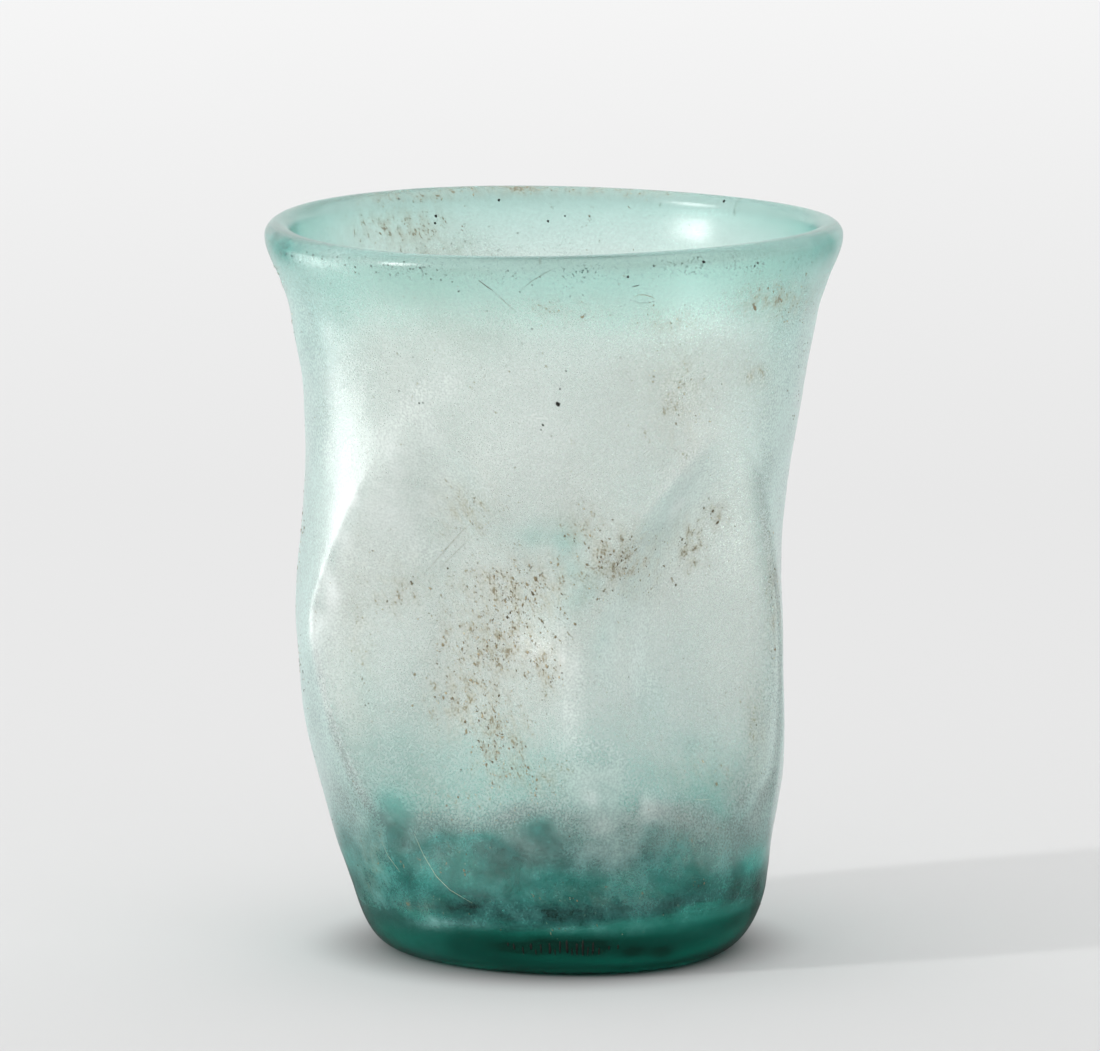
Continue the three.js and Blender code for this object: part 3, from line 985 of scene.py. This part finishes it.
def blend_colours(tree, factor, first, second, blend_type="MIX"):
    inputs = {0: factor, 6: first, 7: second}
    return add(tree, "ShaderNodeMix", inputs, data_type="RGBA", blend_type=blend_type).outputs[2]


# The colour of the glass at shares of its deepest tint.
DEEPEST_TINT = 2.6
GLASS_TINTS = [
    (0, (0.975, 0.985, 0.975, 1)),
    (0.115, (0.76, 0.92, 0.895, 1)),
    (0.385, (0.1, 0.63, 0.575, 1)),
    (0.77, (0.001, 0.11, 0.1, 1)),
    (1, (0.0005, 0.02, 0.016, 1)),
]

ABSORPTION = (0.083, 0.7, 0.617, 1)
ABSORPTION_DENSITY = 62
GLASS_BEND = 1.5

# The weathered skin in the middle and at the edges, and the whitish colour over thin and deep glass of the
# mottle and the whitened patches, which over thin glass are mostly painted highlights and sheen.
FILM_MIDDLE = (0.97, 0.985, 0.965, 1)
FILM_EDGE = (0.5, 0.84, 0.79, 1)
THIN_VEIL_AND_HIGHLIGHT = (0.9, 0.95, 0.93, 1)
DEEP_VEIL = (0.46, 0.8, 0.77, 1)

# The haze and the specks of a soil stain, which lean and are stretched along that way, and dark dots.
SOIL_HAZE = (0.5, 0.46, 0.33, 1)
SOIL_SPECK = (0.24, 0.21, 0.13, 1)
SOIL_LEAN = math.radians(-30)
SOIL_STRETCH = (1, 1, 1.7)
GRIT = (0.03, 0.1, 0.085, 1)

# Textures over the glass, as their scale, detail and roughness.
COARSE_SOIL = (700, 5, 0.6)
FINE_SOIL = (2800, 3, 0.6)
CLOUDS = (60, 4, 0.6)
SKIN_GRAIN = (3200, 4, 0.6)
MOTTLE_GRAIN = (150, 7, 0.74)
PALE_GRAIN = (220, 5, 0.6)
DOT_GRAIN = (2600, 2, 0.6)

# Steps over those textures or over a depth of colour: where each starts and ends, from what to what.
DEEP_STEP = (0.4, 1, 0, 1)
SPECK_STEP = (0.65, 0.71, 0, 1)
HAZE_STEP = (0.35, 0.65, 0.25, 1)
FILM_CLOUD_STEP = (0.3, 0.7, 0.18, 0.27)
FILM_SKIN_STEP = (0.35, 0.65, -0.08, 0.08)
EDGE_STEP = (0.3, 0.95, 0, 1, "LINEAR")
MOTTLE_STEP = (0.35, 0.68, -0.07, 0.16)
PALE_STEP = (0.3, 0.7, 0.4, 1)
DOT_STEP = (0.57, 0.63, 0, 1)
DULL_STEP = (0.3, 0.7, 0.17, 0.24)

# How much more or less film there is at the lip, in deep glass, at the edges and in the foot.
FILM_AT_LIP = -0.4
FILM_IN_DEEP = -0.4
FILM_AT_EDGE = 0.9
FILM_IN_FOOT = -0.95

# The share of the light that each kind of cover stops.
HAZE_COVER = 0.28
PALE_COVER = 0.5
DOT_COVER = 0.3
SPECK_COVER = 0.8

# How dark the dots are and how many there are anywhere and in deep glass, and how specks of soil form.
DOT_DARKNESS = 0.7
DOTS_ANYWHERE = 0.06
DOTS_IN_DEEP = 0.28
COARSE_SHARE = 0.6
SPECKS_BY_SOIL = 0.12

# How dull the glass is in its deep parts, at the foot and at the lip, and how thick its coat.
DULL_IN_DEEP = -0.06
DULL_IN_FOOT = -0.08
DULL_AT_LIP = 0.04
DULLEST = 0.265
COAT = 0.6
COAT_DULLNESS = 0.3
SKIN_BUMP = 0.0001
SKIN_BUMP_STRENGTH = 0.25


def colour_ramp(tree, value, stops):
    """The colour that follows (place, colour) stops as value goes from 0 to 1."""
    made = add(tree, "ShaderNodeValToRGB", {0: value})
    elements = made.color_ramp.elements
    while len(elements) < len(stops):
        elements.new(0.5)
    for element, (place, colour) in zip(elements, stops):
        element.position = place
        element.color = colour
    return made.outputs["Color"]


def glass_film(tree, zones, edge, cloud, skin):
    """The thin weathered skin all over the glass, as the share of light that it stops."""
    film = maths(tree, "ADD", ramp(tree, cloud, *FILM_CLOUD_STEP), ramp(tree, skin, *FILM_SKIN_STEP))
    film = maths(tree, "MULTIPLY", film, zones["film"])
    film = more_where(tree, film, zones["lip"], FILM_AT_LIP)
    film = more_where(tree, film, zones["deep"], FILM_IN_DEEP)
    film = more_where(tree, film, edge, FILM_AT_EDGE)
    return more_where(tree, film, zones["foot"], FILM_IN_FOOT)


def glass_soil(tree, where, soil):
    """The haze of the soil stains and the specks in them."""
    inputs = {"Vector": where, "Rotation": (0, SOIL_LEAN, 0), "Scale": SOIL_STRETCH}
    leaning = add(tree, "ShaderNodeMapping", inputs, vector_type="TEXTURE").outputs[0]
    coarse = speckle(tree, leaning, *COARSE_SOIL)
    fine = maths(tree, "MULTIPLY", speckle(tree, leaning, *FINE_SOIL), 1 - COARSE_SHARE)
    grain = maths(tree, "MULTIPLY_ADD", coarse, COARSE_SHARE, fine)
    specks = ramp(tree, maths(tree, "MULTIPLY_ADD", soil, SPECKS_BY_SOIL, grain), *SPECK_STEP)
    haze = maths(tree, "MULTIPLY", soil, ramp(tree, coarse, *HAZE_STEP))
    return haze, specks


def glass_dots(tree, where, zones):
    """Fine dark dots, thick where the glass is pricked and a few elsewhere."""
    dots = ramp(tree, speckle(tree, where, *DOT_GRAIN), *DOT_STEP)
    plain = maths(tree, "MULTIPLY_ADD", zones["deep"], DOTS_IN_DEEP, DOTS_ANYWHERE)
    return maths(tree, "MULTIPLY", dots, maths(tree, "MAXIMUM", zones["grit"], plain))


def glass_dullness(tree, zones, cloud):
    dull = maths(tree, "MULTIPLY_ADD", zones["deep"], DULL_IN_DEEP, ramp(tree, cloud, *DULL_STEP))
    dull = maths(tree, "MULTIPLY_ADD", zones["foot"], DULL_IN_FOOT, dull)
    dull = maths(tree, "MULTIPLY_ADD", zones["lip"], DULL_AT_LIP, dull)
    return maths(tree, "MINIMUM", dull, DULLEST)


def glass_material():
    material, tree, shader, where = start_material("weathered_glass")
    names = ("soil", "tint", "foot", "lip", "film", "pale", "grit")
    zones = {name: attribute(tree, name) for name in names}
    zones["deep"] = ramp(tree, zones["tint"], *DEEP_STEP)
    cloud = speckle(tree, where, *CLOUDS)
    skin = speckle(tree, where, *SKIN_GRAIN)
    edge = ramp(tree, add(tree, "ShaderNodeLayerWeight").outputs["Facing"], *EDGE_STEP)
    film = glass_film(tree, zones, edge, cloud, skin)
    haze, specks = glass_soil(tree, where, zones["soil"])
    dots = glass_dots(tree, where, zones)
    mottle = ramp(tree, speckle(tree, where, *MOTTLE_GRAIN), *MOTTLE_STEP)
    mottle = maths(tree, "MULTIPLY", mottle, zones["deep"])
    mottle = more_where(tree, mottle, zones["foot"], -1)
    # Whitish skin and painted highlights, from the whitened patches.
    whitish_skin_and_highlight = ramp(tree, speckle(tree, where, *PALE_GRAIN), *PALE_STEP)
    whitish_skin_and_highlight = maths(tree, "MULTIPLY", whitish_skin_and_highlight, zones["pale"])

    cover = maths(tree, "ADD", maths(tree, "MULTIPLY_ADD", haze, HAZE_COVER, film), mottle)
    cover = maths(tree, "MULTIPLY_ADD", whitish_skin_and_highlight, PALE_COVER, cover)
    cover = maths(tree, "MULTIPLY_ADD", dots, DOT_COVER, cover)
    cover = maths(tree, "MAXIMUM", cover, maths(tree, "MULTIPLY", specks, SPECK_COVER))
    tree.links.new(maths(tree, "SUBTRACT", 1.0, cover), shader.inputs["Transmission Weight"])

    glass = colour_ramp(tree, maths(tree, "DIVIDE", zones["tint"], DEEPEST_TINT), GLASS_TINTS)
    pale = blend_colours(tree, edge, FILM_MIDDLE, FILM_EDGE)
    colour = blend_colours(tree, 1.0, glass, pale, blend_type="MULTIPLY")
    # The mottle and the whitened patches, painted highlights among them, turn the colour whitish.
    veil_and_highlight_share = maths(tree, "MAXIMUM", maths(tree, "ADD", mottle, whitish_skin_and_highlight), 0.0)
    colour = blend_colours(tree, veil_and_highlight_share, colour, blend_colours(tree, zones["deep"], THIN_VEIL_AND_HIGHLIGHT, DEEP_VEIL))
    colour = blend_colours(tree, haze, colour, SOIL_HAZE)
    colour = blend_colours(tree, maths(tree, "MULTIPLY", dots, DOT_DARKNESS), colour, GRIT)
    tree.links.new(blend_colours(tree, specks, colour, SOIL_SPECK), shader.inputs["Base Color"])

    tree.links.new(glass_dullness(tree, zones, cloud), shader.inputs["Roughness"])
    coat = maths(tree, "SUBTRACT", maths(tree, "MULTIPLY_ADD", zones["lip"], -COAT, COAT), zones["foot"])
    tree.links.new(maths(tree, "MAXIMUM", coat, 0.0), shader.inputs["Coat Weight"])
    shader.inputs["Coat Roughness"].default_value = COAT_DULLNESS
    shader.inputs["IOR"].default_value = GLASS_BEND
    raise_bumps(tree, shader, skin, SKIN_BUMP_STRENGTH, SKIN_BUMP)
    inputs = {"Color": ABSORPTION, "Density": ABSORPTION_DENSITY}
    absorb = add(tree, "ShaderNodeVolumeAbsorption", inputs)
    tree.links.new(absorb.outputs["Volume"], tree.nodes["Material Output"].inputs["Volume"])
    return material


# The colour of soil at its tones, from black dirt in pits to pale lime; near the pale end it also colours
# a bubble's painted highlight.
SOIL_TONES = [
    (0, (0.006, 0.008, 0.006, 1)),
    (0.4, (0.1, 0.08, 0.045, 1)),
    (0.7, (0.29, 0.25, 0.155, 1)),
    (0.85, (0.56, 0.48, 0.32, 1)),
    (1, (0.55, 0.62, 0.55, 1)),
]
SOIL_GRAIN = (4000, 3, 0.6)
SOIL_TONE_STEP = (0.3, 0.7, -0.08, 0.08)
SOIL_DULL_STEP = (0.3, 0.7, 0.8, 1)
SOIL_BUMP = 0.00005
SOIL_BUMP_STRENGTH = 0.5


def soil_material():
    material, tree, shader, where = start_material("dried_soil_and_bubble_highlight")
    crumbs = speckle(tree, where, *SOIL_GRAIN)
    tone = maths(tree, "ADD", attribute(tree, "tone"), ramp(tree, crumbs, *SOIL_TONE_STEP))
    tree.links.new(colour_ramp(tree, tone, SOIL_TONES), shader.inputs["Base Color"])
    tree.links.new(ramp(tree, crumbs, *SOIL_DULL_STEP), shader.inputs["Roughness"])
    raise_bumps(tree, shader, crumbs, SOIL_BUMP_STRENGTH, SOIL_BUMP)
    return material


SCAR_STAIN = (0.025, 0.014, 0.006, 1)
SCAR_RUST = (0.16, 0.07, 0.025, 1)
SCAR_GLASS = (0.1, 0.2, 0.16, 1)
RUST_GRAIN = (900, 5, 0.6)
RUST_STEP = (0.45, 0.62, 0, 1)
BARE_GRAIN = (500, 4, 0.6)
BARE_STEP = (0.56, 0.66, 0, 1)
BARE_WHERE_WORN = 0.1
SCAR_DULL_STEP = (0, 1, 0.85, 0.3)
SCAR_BUMP_GRAIN = (2500, 5, 0.6)
SCAR_BUMP = 0.0002
SCAR_BUMP_STRENGTH = 0.6


def scar_material():
    material, tree, shader, where = start_material("stained_broken_glass")
    rust = ramp(tree, speckle(tree, where, *RUST_GRAIN), *RUST_STEP)
    bare = speckle(tree, where, *BARE_GRAIN)
    bare = maths(tree, "MULTIPLY_ADD", attribute(tree, "worn"), BARE_WHERE_WORN, bare)
    bare = ramp(tree, bare, *BARE_STEP)
    stain = blend_colours(tree, rust, SCAR_STAIN, SCAR_RUST)
    tree.links.new(blend_colours(tree, bare, stain, SCAR_GLASS), shader.inputs["Base Color"])
    tree.links.new(ramp(tree, bare, *SCAR_DULL_STEP), shader.inputs["Roughness"])
    raise_bumps(tree, shader, speckle(tree, where, *SCAR_BUMP_GRAIN), SCAR_BUMP_STRENGTH, SCAR_BUMP)
    return material


# The floor fills the view. Its grey changes with depth, given in metres behind the beaker, as a painted
# fall of light: painted shade in front of the beaker and painted light far behind it.
FLOOR_REACH = 12
FLOOR_NEAR = -0.1
FLOOR_FAR = 1.2
FLOOR_TONES = [(FLOOR_NEAR, 0.6), (0.0, 0.655), (0.1, 0.64), (0.4, 0.65), (FLOOR_FAR, 0.755)]

# A painted contact shadow darkens the floor close around the foot, and painted shade darkens it a little
# further out in the glass's own mirrorings.
CONTACT_NEAR = 0.022
CONTACT_FAR = 0.036
PAINTED_CONTACT_SHADOW = 0.4
MIRRORED_NEAR = 0.045
MIRRORED_FAR = 0.09
PAINTED_MIRRORED_SHADE = 0.8
BLACK = (0, 0, 0, 1)


def make_floor():
    bpy.ops.mesh.primitive_plane_add(size=FLOOR_REACH)
    floor = bpy.context.object
    floor.name = "floor"
    material, tree, shader, where = start_material("pale_floor")
    depth = add(tree, "ShaderNodeSeparateXYZ", {0: where}).outputs["Y"]
    share = ramp(tree, depth, FLOOR_NEAR, FLOOR_FAR, kind="LINEAR")
    span = FLOOR_FAR - FLOOR_NEAR
    greys = [((place - FLOOR_NEAR) / span, (tone, tone, tone, 1)) for place, tone in FLOOR_TONES]
    away = add(tree, "ShaderNodeVectorMath", {0: where}, operation="LENGTH").outputs["Value"]
    ray = add(tree, "ShaderNodeLightPath").outputs
    # Painted shade: darker floor near the beaker in what the glass mirrors, and a painted contact shadow
    # round the foot.
    mirrored = maths(tree, "SUBTRACT", ray["Is Glossy Ray"], ray["Is Transmission Ray"])
    near = ramp(tree, away, MIRRORED_NEAR, MIRRORED_FAR, PAINTED_MIRRORED_SHADE, 0.0)
    dark = maths(tree, "MULTIPLY", maths(tree, "MAXIMUM", mirrored, 0.0), near)
    dark = maths(tree, "MAXIMUM", dark, ramp(tree, away, CONTACT_NEAR, CONTACT_FAR, PAINTED_CONTACT_SHADOW, 0.0))
    grey = colour_ramp(tree, share, greys)
    tree.links.new(blend_colours(tree, dark, grey, BLACK), shader.inputs["Base Color"])
    shader.inputs["Specular IOR Level"].default_value = 0
    shader.inputs["Roughness"].default_value = 1
    floor.data.materials.append(material)


# The studio is brightest above, behind and to the left.
WORLD_BRIGHT_WAY = (-0.12, 0.3, 0.82)
WORLD_STEP = (-0.5, 1, 0.62, 1.35, "LINEAR")


def make_world():
    world = bpy.data.worlds.new("studio")
    bpy.context.scene.world = world
    world.use_nodes = True
    tree = world.node_tree
    way = add(tree, "ShaderNodeTexCoord").outputs["Generated"]
    above = add(tree, "ShaderNodeVectorMath", {0: way, 1: WORLD_BRIGHT_WAY}, operation="DOT_PRODUCT")
    background = tree.nodes["Background"]
    background.inputs["Color"].default_value = (1, 1, 1, 1)
    tree.links.new(ramp(tree, above.outputs["Value"], *WORLD_STEP), background.inputs["Strength"])


def aim(thing, target):
    direction = Vector(target) - thing.location
    thing.rotation_euler = direction.to_track_quat("-Z", "Y").to_euler()


LIGHT_TARGET = (0, 0, 0.05)


def add_light(name, turn, rise, distance, width, height, power, only_mirrored=False):
    """A softbox aimed at the beaker, turned to the left of the camera and raised, both in degrees.

    One that is only mirrored doesn't light matt surfaces and doesn't show through the glass.
    """
    data = bpy.data.lights.new(name, "AREA")
    data.shape = "RECTANGLE"
    data.size = width
    data.size_y = height
    data.energy = power
    lamp = bpy.data.objects.new(name, data)
    turn, rise = math.radians(turn), math.radians(rise)
    away = Vector((-math.sin(turn) * math.cos(rise), -math.cos(turn) * math.cos(rise), math.sin(rise)))
    lamp.location = Vector(LIGHT_TARGET) + away * distance
    aim(lamp, LIGHT_TARGET)
    lamp.visible_diffuse = not only_mirrored
    lamp.visible_transmission = not only_mirrored
    bpy.context.scene.collection.objects.link(lamp)


def make_camera():
    data = bpy.data.cameras.new("camera")
    data.sensor_width = SENSOR
    data.lens = LENS
    camera = bpy.data.objects.new("camera", data)
    camera.location = CAMERA_PLACE
    aim(camera, CAMERA_TARGET)
    bpy.context.scene.collection.objects.link(camera)
    bpy.context.scene.camera = camera


bpy.context.scene.view_settings.view_transform = "Standard"
make_camera()
make_floor()
make_world()
add_light("key_strip", turn=67, rise=21, distance=3, width=0.16, height=1.1, power=35)
add_light(
    "side_card",
    turn=105,
    rise=-3,
    distance=0.25,
    width=0.12,
    height=0.07,
    power=0.08,
    only_mirrored=True,
)

vessel = make_vessel()
vessel.data.materials.append(glass_material())
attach(vessel, "root")
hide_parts("rim_lip", "flared_collar", "indented_wall", "thick_base")

surface = BVHTree.FromPolygons(
    [vertex.co for vertex in vessel.data.vertices],
    [face.vertices for face in vessel.data.polygons],
)
crust = make_crust(surface)
crust.data.materials.append(soil_material())
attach(crust, "root")

scar = make_scar()
scar.data.materials.append(scar_material())
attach(scar, "root")
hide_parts("pontil_scar")
